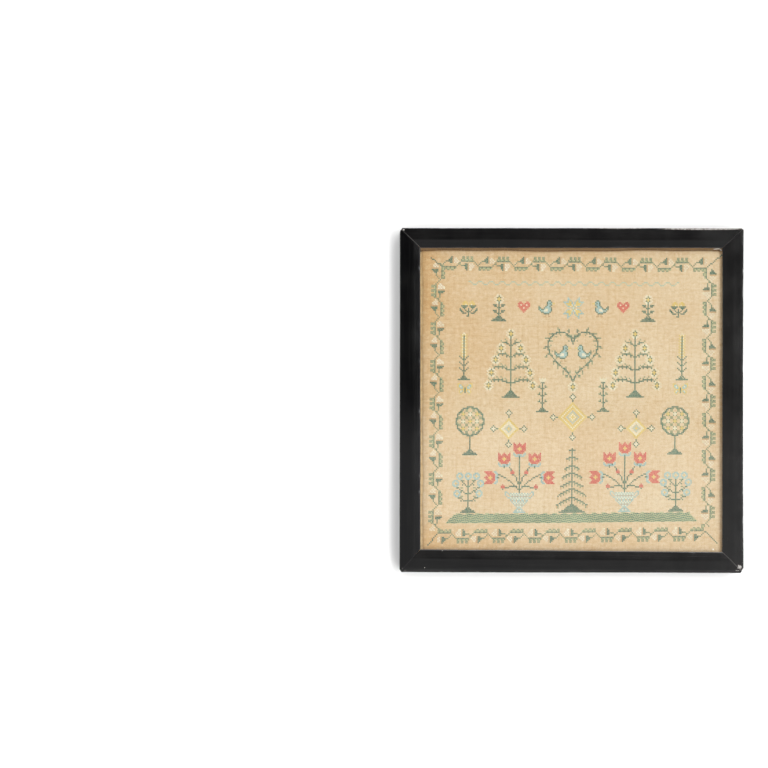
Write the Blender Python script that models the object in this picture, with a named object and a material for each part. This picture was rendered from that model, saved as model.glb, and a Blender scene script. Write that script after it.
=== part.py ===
"""Framed cross stitch sampler: a mitred black frame, its glass, the stitched cloth and a back board.

The frame lies on its back: +Z comes out of its face, +Y runs to the top rail and +X to the right
rail. The origin is under the middle of the frame, on the surface that it lies on. Sizes in metres.
"""
from math import cos, pi, radians, sin, sqrt

import bmesh
import bpy
from mathutils import Matrix, Vector

# ---- Driving dimensions -------------------------------------------------------------------------
FRAME_SIDE = 0.360        # outer side of the square frame
RAIL_WIDTH = 0.0210       # face of a rail, from its outer side to the sight edge
RAIL_DEPTH = 0.018        # from the rear face to the flat of the front face
FLAT_WIDTH = 0.0124       # flat outer part of the face; the rest slopes down to the sight edge
SLOPE_DROP = 0.0013       # how far the slope falls from the flat to the sight edge
LIP_WIDTH = 0.005         # how far the lip reaches over the glass
OUTER_ROUND = 0.0007      # radius of the outer front arris
SIGHT_ROUND = 0.0006      # radius of the sight edge
ROUND_STEPS = 4           # segments in each rounded arris
MITRE_GAP = 0.0003        # open joint between the ends of two rails

SEAT_GAP = 0.0003         # gap between pieces that lie on each other
REBATE_CLEARANCE = 0.0005 # gap around the glass and the board in the rebate
BOARD_RECESS = 0.0081     # how far the board lies in from the rear faces of the rails
BOARD_THICKNESS = 0.004
GLASS_THICKNESS = 0.0016
SHEET_ARRIS = 0.0003      # small bevel along the edges of the glass and the board

CLOTH_THICKNESS = 0.001
CLOTH_SWELL = 0.0002      # height of the cloth's broad swells above and below its middle level
CLOTH_TUCK = 0.002        # how far the right and bottom edges reach under the lip
LEFT_EDGE_SHOW = 0.0027   # board that shows between the sight edge and the cloth's left edge
TOP_EDGE_SHOW = 0.0016    # board that shows between the sight edge and the cloth's top edge
CLOTH_CELLS = 30          # cells of the cloth's grid along each side

# ---- Heights of the stack, from the rear face up ------------------------------------------------
BOARD_TOP = BOARD_RECESS + BOARD_THICKNESS
CLOTH_MIDDLE = BOARD_TOP + SEAT_GAP + CLOTH_SWELL + CLOTH_THICKNESS / 2
GLASS_BOTTOM = CLOTH_MIDDLE + CLOTH_THICKNESS / 2 + CLOTH_SWELL + SEAT_GAP
LIP_BOTTOM = GLASS_BOTTOM + GLASS_THICKNESS + SEAT_GAP

HALF_FRAME = FRAME_SIDE / 2
HALF_SIGHT = HALF_FRAME - RAIL_WIDTH
HALF_SHEET = HALF_SIGHT + LIP_WIDTH - REBATE_CLEARANCE

# ---- Tables -------------------------------------------------------------------------------------
# Each rail: its name and the turn about +Z, in degrees, that takes it from the bottom to its place.
RAILS = (
    ("rail_bottom", 0),
    ("rail_right", 90),
    ("rail_top", 180),
    ("rail_left", 270),
)

# Knocked corners: the rail, the end of it (-1 or +1 along its own length, seen as the bottom
# rail), and how far the break reaches along the rail, across its face and down its side.
KNOCKS = (
    ("rail_right", -1, 0.0062, 0.0034, 0.0042),
    ("rail_bottom", +1, 0.0030, 0.0024, 0.0034),
    ("rail_bottom", -1, 0.0024, 0.0026, 0.0030),
    ("rail_left", +1, 0.0026, 0.0020, 0.0030),
    ("rail_left", -1, 0.0028, 0.0022, 0.0034),
    ("rail_right", +1, 0.0024, 0.0020, 0.0028),
    ("rail_top", -1, 0.0028, 0.0018, 0.0026),
)

# Waves of the cloth's free edges: height of the wave, its length along the edge, and its phase.
LEFT_EDGE_WAVES = (
    (0.0003, 0.095, 0.4),
    (0.0002, 0.041, 2.1),
)
TOP_EDGE_WAVES = (
    (0.0005, 0.190, 5.0),
    (0.0003, 0.070, 1.2),
)
LEFT_EDGE_LEAN = 0.0008   # the left edge draws in by this much from its top end to its bottom end

# Broad swells of the cloth: share of the height, waves across, waves up, and phase.
SWELLS = (
    (0.50, 1.3, 0.8, 0.6),
    (0.30, 0.7, 2.1, 2.4),
    (0.20, 2.9, 1.7, 4.2),
)


# ---- Helpers ------------------------------------------------------------------------------------
def clear_scene():
    for old in list(bpy.data.objects):
        bpy.data.objects.remove(old, do_unlink=True)


def make_material(name, colour, roughness, alpha=1.0):
    material = bpy.data.materials.new(name)
    material.use_nodes = True
    shader = material.node_tree.nodes["Principled BSDF"]
    shader.inputs["Base Color"].default_value = (*colour, 1.0)
    shader.inputs["Roughness"].default_value = roughness
    shader.inputs["Metallic"].default_value = 0.0
    shader.inputs["Alpha"].default_value = alpha
    return material


def make_object(name, mesh_builder, material, parent):
    """Turn a finished bmesh into one named object under the frame's empty."""
    mesh = bpy.data.meshes.new(name)
    bmesh.ops.recalc_face_normals(mesh_builder, faces=mesh_builder.faces)
    mesh_builder.to_mesh(mesh)
    mesh_builder.free()
    mesh.materials.append(material)
    item = bpy.data.objects.new(name, mesh)
    bpy.context.collection.objects.link(item)
    item.parent = parent
    return item


def shade_round(item, sharp_above):
    item.data.shade_smooth()
    item.data.set_sharp_from_angle(angle=radians(sharp_above))


def arc(centre, radius, start, end):
    """Points on an arc in the section plane, from one angle in degrees to the other."""
    points = []
    for step in range(ROUND_STEPS + 1):
        angle = radians(start + (end - start) * step / ROUND_STEPS)
        points.append((centre[0] + radius * cos(angle), centre[1] + radius * sin(angle)))
    return points


# ---- Rails --------------------------------------------------------------------------------------
def rail_section():
    """Section of a rail as (inset from the outer side, height), once round."""
    slope_angle = SLOPE_DROP / (RAIL_WIDTH - FLAT_WIDTH)
    sight_top = RAIL_DEPTH - SLOPE_DROP - SIGHT_ROUND + SIGHT_ROUND * slope_angle
    outer_centre = (OUTER_ROUND, RAIL_DEPTH - OUTER_ROUND)
    sight_centre = (RAIL_WIDTH - SIGHT_ROUND, sight_top)
    section = [(0.0, 0.0)]
    section += arc(outer_centre, OUTER_ROUND, 180, 90)
    section.append((FLAT_WIDTH, RAIL_DEPTH))
    section += arc(sight_centre, SIGHT_ROUND, 90, 0)
    section.append((RAIL_WIDTH, LIP_BOTTOM))
    section.append((RAIL_WIDTH - LIP_WIDTH, LIP_BOTTOM))
    section.append((RAIL_WIDTH - LIP_WIDTH, 0.0))
    return section


def rail_mesh():
    """The bottom rail: its section swept between two mitred ends."""
    builder = bmesh.new()
    end_inset = MITRE_GAP / sqrt(2)
    left_end = []
    for inset, height in rail_section():
        place = (-HALF_FRAME + inset + end_inset, -HALF_FRAME + inset, height)
        left_end.append(builder.verts.new(place))
    end_face = builder.faces.new(left_end)
    swept = bmesh.ops.extrude_face_region(builder, geom=[end_face])
    for item in swept["geom"]:
        if isinstance(item, bmesh.types.BMVert):
            item.co.x = -item.co.x
    return builder


def knock_corner(builder, end, along, across, down):
    """Break the outer front corner at one end of the rail with a flat facet."""
    corner = Vector((end * HALF_FRAME, -HALF_FRAME, RAIL_DEPTH))
    outward = Vector((end / along, -1 / across, 1 / down)).normalized()
    on_face = corner + Vector((0.0, across, 0.0))
    everything = builder.verts[:] + builder.edges[:] + builder.faces[:]
    cut = bmesh.ops.bisect_plane(
        builder, geom=everything, dist=1e-6, plane_co=on_face, plane_no=outward, clear_outer=True
    )
    rim = [item for item in cut["geom_cut"] if isinstance(item, bmesh.types.BMEdge)]
    bmesh.ops.holes_fill(builder, edges=rim, sides=0)


def add_rails(material, parent):
    for name, turn in RAILS:
        builder = rail_mesh()
        for knocked, end, along, across, down in KNOCKS:
            if knocked == name:
                knock_corner(builder, end, along, across, down)
        rail = make_object(name, builder, material, parent)
        rail.rotation_euler.z = radians(turn)
        shade_round(rail, sharp_above=30)


# ---- Glass and board ----------------------------------------------------------------------------
def add_flat_sheet(name, bottom, thickness, material, parent):
    """A square sheet with small bevels that lies in the rebate."""
    side = 2 * HALF_SHEET
    builder = bmesh.new()
    size = Matrix.Diagonal((side, side, thickness, 1.0))
    bmesh.ops.create_cube(builder, size=1.0, matrix=size)
    sheet = make_object(name, builder, material, parent)
    sheet.location.z = bottom + thickness / 2
    bevel = sheet.modifiers.new("arris", "BEVEL")
    bevel.width = SHEET_ARRIS
    bevel.segments = 1


# ---- Cloth --------------------------------------------------------------------------------------
def wave_sum(place, waves):
    total = 0.0
    for height, length, phase in waves:
        total += height * sin(2 * pi * place / length + phase)
    return total


def cloth_point(across, up):
    """A point of the cloth's middle layer, from shares of its width and height."""
    right = HALF_SIGHT + CLOTH_TUCK
    bottom = -HALF_SIGHT - CLOTH_TUCK
    level_y = bottom + up * (HALF_SIGHT - TOP_EDGE_SHOW - bottom)
    left = -HALF_SIGHT + LEFT_EDGE_SHOW + LEFT_EDGE_LEAN * (1 - up)
    left += wave_sum(level_y, LEFT_EDGE_WAVES)
    x = left + across * (right - left)
    top = HALF_SIGHT - TOP_EDGE_SHOW + wave_sum(x, TOP_EDGE_WAVES)
    y = bottom + up * (top - bottom)
    swell = 0.0
    for share, waves_across, waves_up, phase in SWELLS:
        swell += share * sin(2 * pi * (waves_across * across + waves_up * up) + phase)
    return x, y, CLOTH_SWELL * swell


def add_cloth(material, parent):
    """The stitched ground: a thin sheet with two wavy cut edges and broad, shallow swells."""
    builder = bmesh.new()
    rows = []
    for row in range(CLOTH_CELLS + 1):
        line = []
        for column in range(CLOTH_CELLS + 1):
            place = cloth_point(column / CLOTH_CELLS, row / CLOTH_CELLS)
            line.append(builder.verts.new(place))
        rows.append(line)
    for lower, upper in zip(rows, rows[1:]):
        for column in range(CLOTH_CELLS):
            corners = (lower[column], lower[column + 1], upper[column + 1], upper[column])
            builder.faces.new(corners)
    cloth = make_object("sampler_cloth", builder, material, parent)
    cloth.location.z = CLOTH_MIDDLE
    solidify = cloth.modifiers.new("thickness", "SOLIDIFY")
    solidify.thickness = CLOTH_THICKNESS
    solidify.offset = 0.0
    shade_round(cloth, sharp_above=40)


# ---- The whole sampler --------------------------------------------------------------------------
def build():
    clear_scene()
    black_paint = make_material("ebonised_wood", (0.012, 0.012, 0.013), 0.28)
    clear_glass = make_material("window_glass", (0.92, 0.95, 0.94), 0.03, alpha=0.15)
    linen = make_material("stitched_linen", (0.72, 0.56, 0.35), 0.85)
    old_board = make_material("aged_board", (0.50, 0.33, 0.17), 0.75)

    frame = bpy.data.objects.new("sampler_frame", None)
    bpy.context.collection.objects.link(frame)
    add_rails(black_paint, frame)
    add_flat_sheet("back_board", BOARD_RECESS, BOARD_THICKNESS, old_board, frame)
    add_cloth(linen, frame)
    add_flat_sheet("glass_pane", GLASS_BOTTOM, GLASS_THICKNESS, clear_glass, frame)


build()
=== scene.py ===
import random
from math import cos, hypot, pi, radians, sin, sqrt

import bpy
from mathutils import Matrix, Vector, noise


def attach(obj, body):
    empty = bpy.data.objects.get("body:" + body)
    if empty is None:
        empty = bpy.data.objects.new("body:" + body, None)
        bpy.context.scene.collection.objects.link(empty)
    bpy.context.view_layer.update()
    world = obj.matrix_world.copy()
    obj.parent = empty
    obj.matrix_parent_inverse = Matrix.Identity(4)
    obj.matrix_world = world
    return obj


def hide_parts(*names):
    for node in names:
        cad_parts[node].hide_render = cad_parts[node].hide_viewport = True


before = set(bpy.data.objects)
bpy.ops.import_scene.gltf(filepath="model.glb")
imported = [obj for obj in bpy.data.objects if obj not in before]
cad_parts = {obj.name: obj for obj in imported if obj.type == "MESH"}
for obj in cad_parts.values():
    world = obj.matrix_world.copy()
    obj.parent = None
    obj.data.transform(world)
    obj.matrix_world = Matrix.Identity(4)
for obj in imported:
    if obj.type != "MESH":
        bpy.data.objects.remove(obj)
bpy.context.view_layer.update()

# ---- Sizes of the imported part, in metres ----
FRAME_SIDE = 0.360
RAIL_WIDTH = 0.0210
RAIL_DEPTH = 0.018
FLAT_WIDTH = 0.0124
SLOPE_DROP = 0.0013
LIP_WIDTH = 0.005
OUTER_ROUND = 0.0007
SIGHT_ROUND = 0.0006
MITRE_GAP = 0.0003
LIP_BOTTOM = 0.0160
HALF_FRAME = FRAME_SIDE / 2
HALF_SIGHT = HALF_FRAME - RAIL_WIDTH
HALF_SHEET = 0.1635

BOARD_BOTTOM = 0.0081
BOARD_TOP = 0.0121
GLASS_BOTTOM = 0.0141
GLASS_TOP = 0.0157

CLOTH_MIDDLE = 0.0131
CLOTH_SWELL = 0.0002
CLOTH_TUCK = 0.0024       # how far the drawn cloth goes under the lip, a little more than the solid
LEFT_EDGE_SHOW = 0.0027
TOP_EDGE_SHOW = 0.0016
CLOTH_RIGHT = HALF_SIGHT + CLOTH_TUCK
CLOTH_BOTTOM = -CLOTH_RIGHT
CLOTH_TOP = HALF_SIGHT - TOP_EDGE_SHOW
LEFT_EDGE_LEAN = 0.0008
# A wave of a cut edge has its height, length and phase, and a swell of the cloth has its share, its
# number of waves across and up, and its phase.
LEFT_EDGE_WAVES = (
    (0.0003, 0.095, 0.4),
    (0.0002, 0.041, 2.1),
)
TOP_EDGE_WAVES = (
    (0.0005, 0.190, 5.0),
    (0.0003, 0.070, 1.2),
)
SWELLS = (
    (0.50, 1.3, 0.8, 0.6),
    (0.30, 0.7, 2.1, 2.4),
    (0.20, 2.9, 1.7, 4.2),
)

# ---- Sizes that only the looks need ----
LINEN_THICKNESS = 0.00045
LINEN_RAISE = 0.0001      # the linen's own middle lies this far over the middle of the solid cloth
LINEN_CELLS = 170
RIDGE_EASE = 0.0022       # the ridge between flat and slope is rounded over this far to each side
EDGE_SETTLE = 0.0055      # width of the border that comes down onto the board along the two cut edges
PUCKER_HEIGHT = 0.00005
THREADS_PER_STITCH = 2
UV_STITCHES = 100         # stitches in one unit of the linen's UV
# The darker line along a cut edge is partly soiling of the edge and partly painted shadow.
CUT_WIDTH = 0.0009        # width of the darker line along a cut edge of the linen
LEFT_CUT_DARK = 0.32
TOP_CUT_DARK = 0.8

HALF_COLUMNS = 96         # stitches from the middle to the vine's inner runs at the sides
HALF_ROWS = 92            # the same to the top and bottom
# Corners of the vine's inner line, as (x, y), from the bottom left and bottom right to the top left
# and top right: the hand-stretched cloth isn't quite square.
DESIGN_CORNERS = ((-0.1398, -0.1408), (0.1410, -0.1372), (-0.1353, 0.1399), (0.1435, 0.1390))
PITCH_ACROSS = (DESIGN_CORNERS[3][0] - DESIGN_CORNERS[2][0]) / (2 * HALF_COLUMNS)
PITCH_UP = (DESIGN_CORNERS[2][1] - DESIGN_CORNERS[0][1]) / (2 * HALF_ROWS)

LEG_HALF_WIDTH = 0.00040  # half the width of one leg of a cross
LEG_RISE = 0.00016        # how far a leg stands above the linen
LEG_CROSSING_RISE = 0.00014  # how much higher the upper leg stands where it crosses
LEG_STATIONS = 5
LEG_UNEVEN = 0.14         # spread of the legs' widths, as a share
LEG_SINK = 0.00003        # how far a leg's foot lies in the linen
HOLE_SHIFT = 0.00009      # spread of the holes' places
LOST_LEGS = 0.012         # share of the upper legs that are worn away
GROUND_LINE_RISE = 0.00021
GROUND_LINE_PAIR = 0.00028  # from one strand of a doubled line to the other

# Frayed thread ends, in metres. Where there are two values, the second is the most that chance adds.
FRAY_PITCH = (0.0006, 0.0022)
FRAY_LENGTH = (0.0003, 0.0010)
FRAY_RADIUS = (0.00007, 0.00003)
FRAY_BEND = 0.0004
FRAY_ROOT = 0.0003        # how far inside the cut edge an end starts
FRAY_DROOP = 0.0002
FRAY_RINGS = 4
FRAY_SIDES = 3

CRUMB_RINGS = 5
CRUMB_SIDES = 8

GLASS_MIRROR = 0.078      # share of the light that the pane's two faces mirror, seen straight on

# Light: radiances, and angles in degrees from straight up, towards the right or the top. In a row of
# four, a share or a blur's width goes from the third value at the first angle to the last at the second.
SKY_RADIANCE = 0.98
KEY_RADIANCE = 6.2
KEY_TURN = 12.0           # turn in plan from the right towards the top
KEY_NEAR_SIDE = (22, 26, 0.0, 1.0)
KEY_FAR_SIDE = (29, 45, 1.0, 0.05)
DIM_RADIANCE = 0.04
CARD_RADIANCE = 0.44
CARD_EDGE = -2.9
CARD_BLUR = (0, 17, 2.6, 0.3)
DIM_LEFT = (-16, -5, 0.0, 1.0)
DIM_RIGHT = (21, 27, 1.0, 0.0)
DIM_BOTTOM = (-18, -13, 0.0, 1.0)
DIM_TOP = (12, 20, 1.0, 0.0)
FLOOR_HALF = 4.0

CAMERA_LENS = 50.0
CAMERA_SENSOR = 36.0
CAMERA_PLACE = (-0.1966, 0.0168, 1.138)

# ---- Tables for the rails ----
# Levels of the outer side, insets of the flat and of the ridge, and places near a rail's end.
SIDE_LEVELS = (0.004, 0.008, 0.0115, 0.0140, 0.0152, 0.0161, 0.0168)
FLAT_INSETS = (0.0011, 0.0017, 0.0025, 0.0036, 0.0050, 0.0070, 0.0090, 0.0102)
RIDGE_INSETS = (0.0108, 0.0114, 0.0120, 0.0127, 0.0134, 0.0140, 0.0146, 0.0160, 0.0180, 0.0200)
END_STATIONS = (0.0, 0.0002, 0.00045, 0.0008, 0.0012, 0.0017, 0.0023, 0.003, 0.0038, 0.0047,
                0.0057, 0.0067, 0.0078, 0.009)

# Rail, its turn about +Z in degrees, then from its -end to its +end: the wear of its outer arris
# there and in the middle, the grey line along the mitre, and the painted sheen, a painted reflection,
# on the flat of its face. The last three are the painted sheen on its slope, and the painted highlights
# on its sight edge and along the rim of its flat.
RAILS = (
    ("rail_bottom", 0, (0.40, 0.20, 0.45), (0.10, 0.40), (0.01, 0.03), 0.070, 0.70, 0.060),
    ("rail_right", 90, (0.55, 0.18, 0.42), (0.40, 0.16), (0.05, 0.05), 0.055, 0.00, 0.035),
    ("rail_top", 180, (0.62, 0.34, 0.22), (0.16, 0.34), (0.045, 0.02), 0.00, 0.10, 0.00),
    ("rail_left", 270, (0.34, 0.12, 0.42), (0.34, 0.10), (0.00, 0.00), 0.015, 0.00, 0.00),
)

# How far the hand-made frame's corners lie off the square, in metres as (x, y): outer corners, then
# sight corners, each from the bottom left and bottom right to the top left and top right.
OUTER_DRIFT = ((-0.0003, -0.0009), (0.0012, -0.0018), (0.0002, 0.0008), (0.0015, 0.0005))
SIGHT_DRIFT = ((0.0008, 0.0024), (0.0001, -0.0012), (0.0008, 0.0009), (0.0002, 0.0008))
RIGHT_SIDE_HOLLOW = 0.0006

# Unevenness of the rails: its height in metres, and the ripples in a metre.
LONG_BOW = (0.00016, 9)
SHORT_BOW = (0.00006, 60)
SIGHT_BOW = (0.00022, 11)
FACE_LIFT = (0.00010, 16)
NICK_DEPTH = 0.0008
WIDE_NICK_DEPTH = 0.0009
NICK_REACH = 0.004        # nicks this near to the outer side go inwards, others go outwards
KNOCK_ROUGHNESS = 0.00025
HAZE_LEVEL = 0.0155       # mitre lines show on the paint above this height
BARE_LEVEL = 0.015        # and bare spots above this one

# Places where the paint turns pale: chipped gesso at the corners, and a pale line along the top right
# arris: x, y, half sizes there, and strength.
BARE_SPOTS = (
    (0.1757, -0.1738, 0.0028, 0.0025, 0.94),
    (0.1735, -0.1774, 0.0026, 0.0007, 0.86),
    (0.1370, 0.1793, 0.0560, 0.0017, 0.76),
    (0.0500, 0.1799, 0.0420, 0.0009, 0.70),
    (-0.1762, 0.1780, 0.0014, 0.0013, 0.80),
    (-0.1772, -0.1765, 0.0011, 0.0014, 0.60),
    (-0.1742, -0.1783, 0.0014, 0.0009, 0.58),
)

# Loose crumbs and slivers of gesso: x, y and z of the lowest point, half length, half width, turn.
CRUMBS = (
    (0.1495, -0.1572, 0.0157, 0.0010, 0.0008, 30),
    (0.1534, 0.1588, 0.0157, 0.0038, 0.0003, 4),
    (0.1578, 0.1577, 0.0157, 0.0011, 0.0003, -62),
    (-0.1352, -0.1584, 0.0166, 0.0004, 0.0003, 10),
    (-0.1540, -0.1760, 0.0180, 0.0004, 0.0003, 70),
)

# Corners worn off all the way down: signs of the corner's x and y, and the cut's reach along each.
CORNER_CUTS = (
    (-1, 1, 0.0024, 0.0034),
    (1, 1, 0.0016, 0.0016),
    (-1, -1, 0.0018, 0.0032),
    (1, -1, 0.0034, 0.0050),
)

# Knocked corners: rail, end, and how far the break reaches along, across and down.
KNOCKS = (
    ("rail_right", -1, 0.0062, 0.0034, 0.0042),
    ("rail_bottom", +1, 0.0030, 0.0024, 0.0034),
    ("rail_bottom", -1, 0.0024, 0.0026, 0.0030),
    ("rail_left", +1, 0.0026, 0.0020, 0.0030),
    ("rail_left", -1, 0.0028, 0.0022, 0.0034),
    ("rail_right", +1, 0.0024, 0.0020, 0.0028),
    ("rail_top", -1, 0.0028, 0.0018, 0.0026),
)

# ---- Stitch charts ----
# One letter a cross: G dark green, M mid green, S sage, L light green, C cream, P pink cream, B pale
# blue, F faded blue, Y yellow, R coral, T tan. A dot is bare linen.
VINE = """
.SS.SS.SS..........GT.....
.MS.MS.MS.........GGTPC...
MLMLLMLLM........GGGTCPC..
MGMMGMMGMM.....MMGGGTPCPC.
..........M...M...GGTCPC.M
...GGTCPC..M.M..........MM
MMGGGTPCPC..M..........M..
...GGTCPCP...MMGMMGMMGM...
...GGTPCP....MLMLLMLLML...
....GTCC.....SS.SS.SS.....
""".split()
VINE_INNER_ROW = 7
# First and last place along each side, and the shift of the repeat there: top, right, bottom, left.
VINE_SIDES = (
    (-96, 96, 4),
    (-91, 89, 3),
    (-96, 96, 4),
    (-90, 94, 7),
)
# Ends of the thin lines from the vine's corners to the corners of the cloth.
CORNER_LINES = (
    (-97, 93, -104, 98),
    (97, 93, 107, 101),
    (97, -93, 105, -101),
    (-97, -93, -103, -100),
)
STAR = """
...B.......B...
...BB.....BB...
...BYB...BYB...
BBBBYYB.BYYBBBB
.BYYYYB.BYYYYB.
..BYYYCBCYYYB..
...BBCYBYCBB...
......BCB......
...BBCYBYCBB...
..BYYYCBCYYYB..
.BYYYYB.BYYYYB.
BBBBYYB.BYYBBBB
...BYB...BYB...
...BB.....BB...
...B.......B...
""".split()
BIRD = """
.......GG....
......GBBG...
......GBGBYY.
......GBBG...
G....GBBG....
GG..GBBBBG...
GBGGBCCBBG...
.GBBCCCBBG...
..GGBBBBG....
....GGGG.....
.....T.T.....
....TT.TT....
""".split()
BUTTERFLY = """
YY.......YY
YBBY...YBBY
YBCBY.YBCBY
.YBBYGYBBY.
..YYYGYYY..
.YCBYGYBCY.
.YBY.G.YBY.
..Y.....Y..
""".split()
HEART = """
.RR...RR.
RRRR.RRRR
RRCRRRCRR
RRRRRRRRR
.RRRCRRR.
..RRRRR..
...RRR...
....R....
""".split()
ACORNS = """
...YY...YY...
..YYYY.YYYY..
..YYCY.YCYY..
.GGGGG.GGGGG.
..GGG...GGG..
G..G..G..G..G
GG..G.G.G..GG
.GG..GGG..GG.
..GGG.G.GGG..
......G......
.....GG......
""".split()
TULIP = """
R...R...R
RR.RRR.RR
RRRRRRRRR
RRRRYRRRR
RRRYYYRRR
RRRRYRRRR
.RRRRRRR.
B.RRRRR.B
BB.BBB.BB
.BBBGBBB.
....G....
""".split()
DAISY = """
..C.C..
.CCGCC.
C.GYG.C
.CYYYC.
C.GYG.C
.CCGCC.
..C.C..
""".split()
BUD = """
.R.
RRR
RRR
.G.
""".split()
BLUE_FLOWER = """
.BBB.
BB.BB
B.Y.B
BB.BB
.BBB.
""".split()
URN = """
BB.................BB
B.B.BCBCBCBCBCBCB.B.B
B..BCBCBCBCBCBCBCB..B
.B..BTBTBTBTBTBTB..B.
..BBCBCBCBCBCBCBCBB..
....BCBCBCBCBCBCB....
....BTBBTBBTBBTBB....
.....BCBCBCBCBCB.....
......BCBCBCBCB......
.......BTBTBTB.......
........BCBCB........
.........BBB.........
........BBTBB........
.......BBCBCBB.......
......BBBBBBBBB......
""".split()
LILY_HEAD = """
C.C.C
CCCCC
.CCC.
.GGG.
""".split()
SPRIG = """
..G..
.GCG.
GCCCG
.GCG.
..G..
""".split()
# Stitches of a leaf of the heart: how far out from the stem, how far along it, and the colour.
HEART_LEAF = ((1, 0, "G"), (2, 0, "G"), (2, 1, "S"), (3, 1, "S"), (-1, 0, "S"), (-2, -1, "S"))
GROUND = (-90, 90, -85)   # first and last column of the ground, and its lowest row
GROUND_ROWS = 6
GROUND_LINES = 5
MIDDLE_RINGS = "YYCYB.YYCYY"
SIDE_RINGS = "YYB.CCYY"

# Threads: letter, name, slot, and the silk's main, dark and pale colours.
THREADS = (
    ("G", "silk_dark_green", "silk_dark_green", (70, 114, 98), (44, 86, 76), (98, 136, 116)),
    ("M", "silk_mid_green", "silk_dark_green", (120, 136, 108), (96, 116, 94), (146, 154, 122)),
    ("S", "silk_sage", "silk_sage", (140, 150, 118), (112, 128, 102), (166, 168, 134)),
    ("L", "silk_light_green", "silk_sage", (176, 178, 142), (156, 162, 126), (190, 192, 156)),
    ("C", "silk_cream", "silk_cream", (236, 226, 202), (214, 198, 164), (240, 234, 216)),
    ("P", "silk_rose", "silk_cream", (220, 194, 172), (204, 172, 146), (226, 206, 188)),
    ("B", "silk_pale_blue", "silk_pale_blue", (158, 190, 192), (130, 168, 174), (180, 204, 198)),
    ("F", "silk_faded_blue", "silk_pale_blue", (178, 190, 170), (160, 178, 164), (196, 196, 166)),
    ("Y", "silk_yellow", "silk_yellow", (226, 196, 116), (206, 172, 90), (230, 206, 142)),
    ("R", "silk_coral", "silk_coral", (212, 92, 86), (188, 70, 68), (216, 118, 104)),
    ("T", "silk_tan", "silk_tan", (202, 164, 122), (178, 138, 98), (214, 182, 146)),
)


# ---- Small helpers ----
def tone(red, green, blue):
    """A colour given as 0 to 255 on a screen, as the linear values that a shader takes."""
    linear = []
    for value in (red, green, blue):
        share = value / 255
        linear.append(share / 12.92 if share <= 0.04045 else ((share + 0.055) / 1.055) ** 2.4)
    return (*linear, 1.0)


def ripple(x, y=0.0, z=0.0):
    """Smooth noise of about -1 to 1 at a place."""
    return noise.noise(Vector((x, y, z)))


def uneven(size, along, y=0.0, z=0.0):
    """Ripples of a height and of a number in a metre."""
    height, number = size
    return height * ripple(along * number, y, z)


def limit(value):
    return min(1.0, max(0.0, value))


def blend(low, high, share):
    return low + (high - low) * share


def between(corners, across, up):
    """A pair of values between those of four corners: the two bottom ones, then the two top ones."""
    low = [blend(left, right, across) for left, right in zip(corners[0], corners[1])]
    high = [blend(left, right, across) for left, right in zip(corners[2], corners[3])]
    return blend(low[0], high[0], up), blend(low[1], high[1], up)


def ease(value, start, end):
    """0 up to start and 1 past end, with a smooth rise between them."""
    share = limit((value - start) / (end - start))
    return share * share * (3 - 2 * share)


def fade(value, start, end):
    """1 up to start and 0 past end, with a smooth fall between them."""
    return 1 - ease(value, start, end)


def add_piece(name, points, faces, materials, slot, uvs=None, marks=None, parts=None, sharp=None):
    """One mesh piece on the body, with a UV and named values for each of its points."""
    mesh = bpy.data.meshes.new(name)
    mesh.from_pydata(points, [], faces)
    for material in materials:
        mesh.materials.append(material)
    if uvs:
        layer = mesh.uv_layers.new(name="UVMap")
        flat = []
        for loop in mesh.loops:
            flat.extend(uvs[loop.vertex_index])
        layer.data.foreach_set("uv", flat)
    for mark, values in (marks or {}).items():
        attribute = mesh.attributes.new(mark, "FLOAT", "POINT")
        attribute.data.foreach_set("value", values)
    if parts:
        mesh.polygons.foreach_set("material_index", parts)
    mesh.validate()
    mesh.shade_smooth()
    item = bpy.data.objects.new(name, mesh)
    bpy.context.collection.objects.link(item)
    if sharp:
        mesh.set_sharp_from_angle(angle=radians(sharp))
    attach(item, "root")
    return item


def tube(base, rings, count):
    """Faces of a tube, whose rings of points follow one another from the point numbered base."""
    faces = []
    for start in range(base, base + (rings - 1) * count, count):
        for step in range(count):
            first = start + step
            second = start + (step + 1) % count
            faces.append((first, second, second + count, first + count))
    return faces


class Value:
    """One output of a node. Its sums, products and spreads are outputs of further nodes."""

    def __init__(self, recipe, socket):
        self.recipe = recipe
        self.socket = socket

    def __add__(self, other):
        return self.recipe.math("ADD", self, other)

    def __sub__(self, other):
        return self.recipe.math("SUBTRACT", self, other)

    def __mul__(self, other):
        return self.recipe.math("MULTIPLY", self, other)

    def spread(self, low, high, to_low=0.0, to_high=1.0, curve="LINEAR"):
        """The part of the value between low and high, as to_low to to_high."""
        return self.recipe.add("MapRange", self, low, high, to_low, to_high, interpolation_type=curve)


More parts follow.
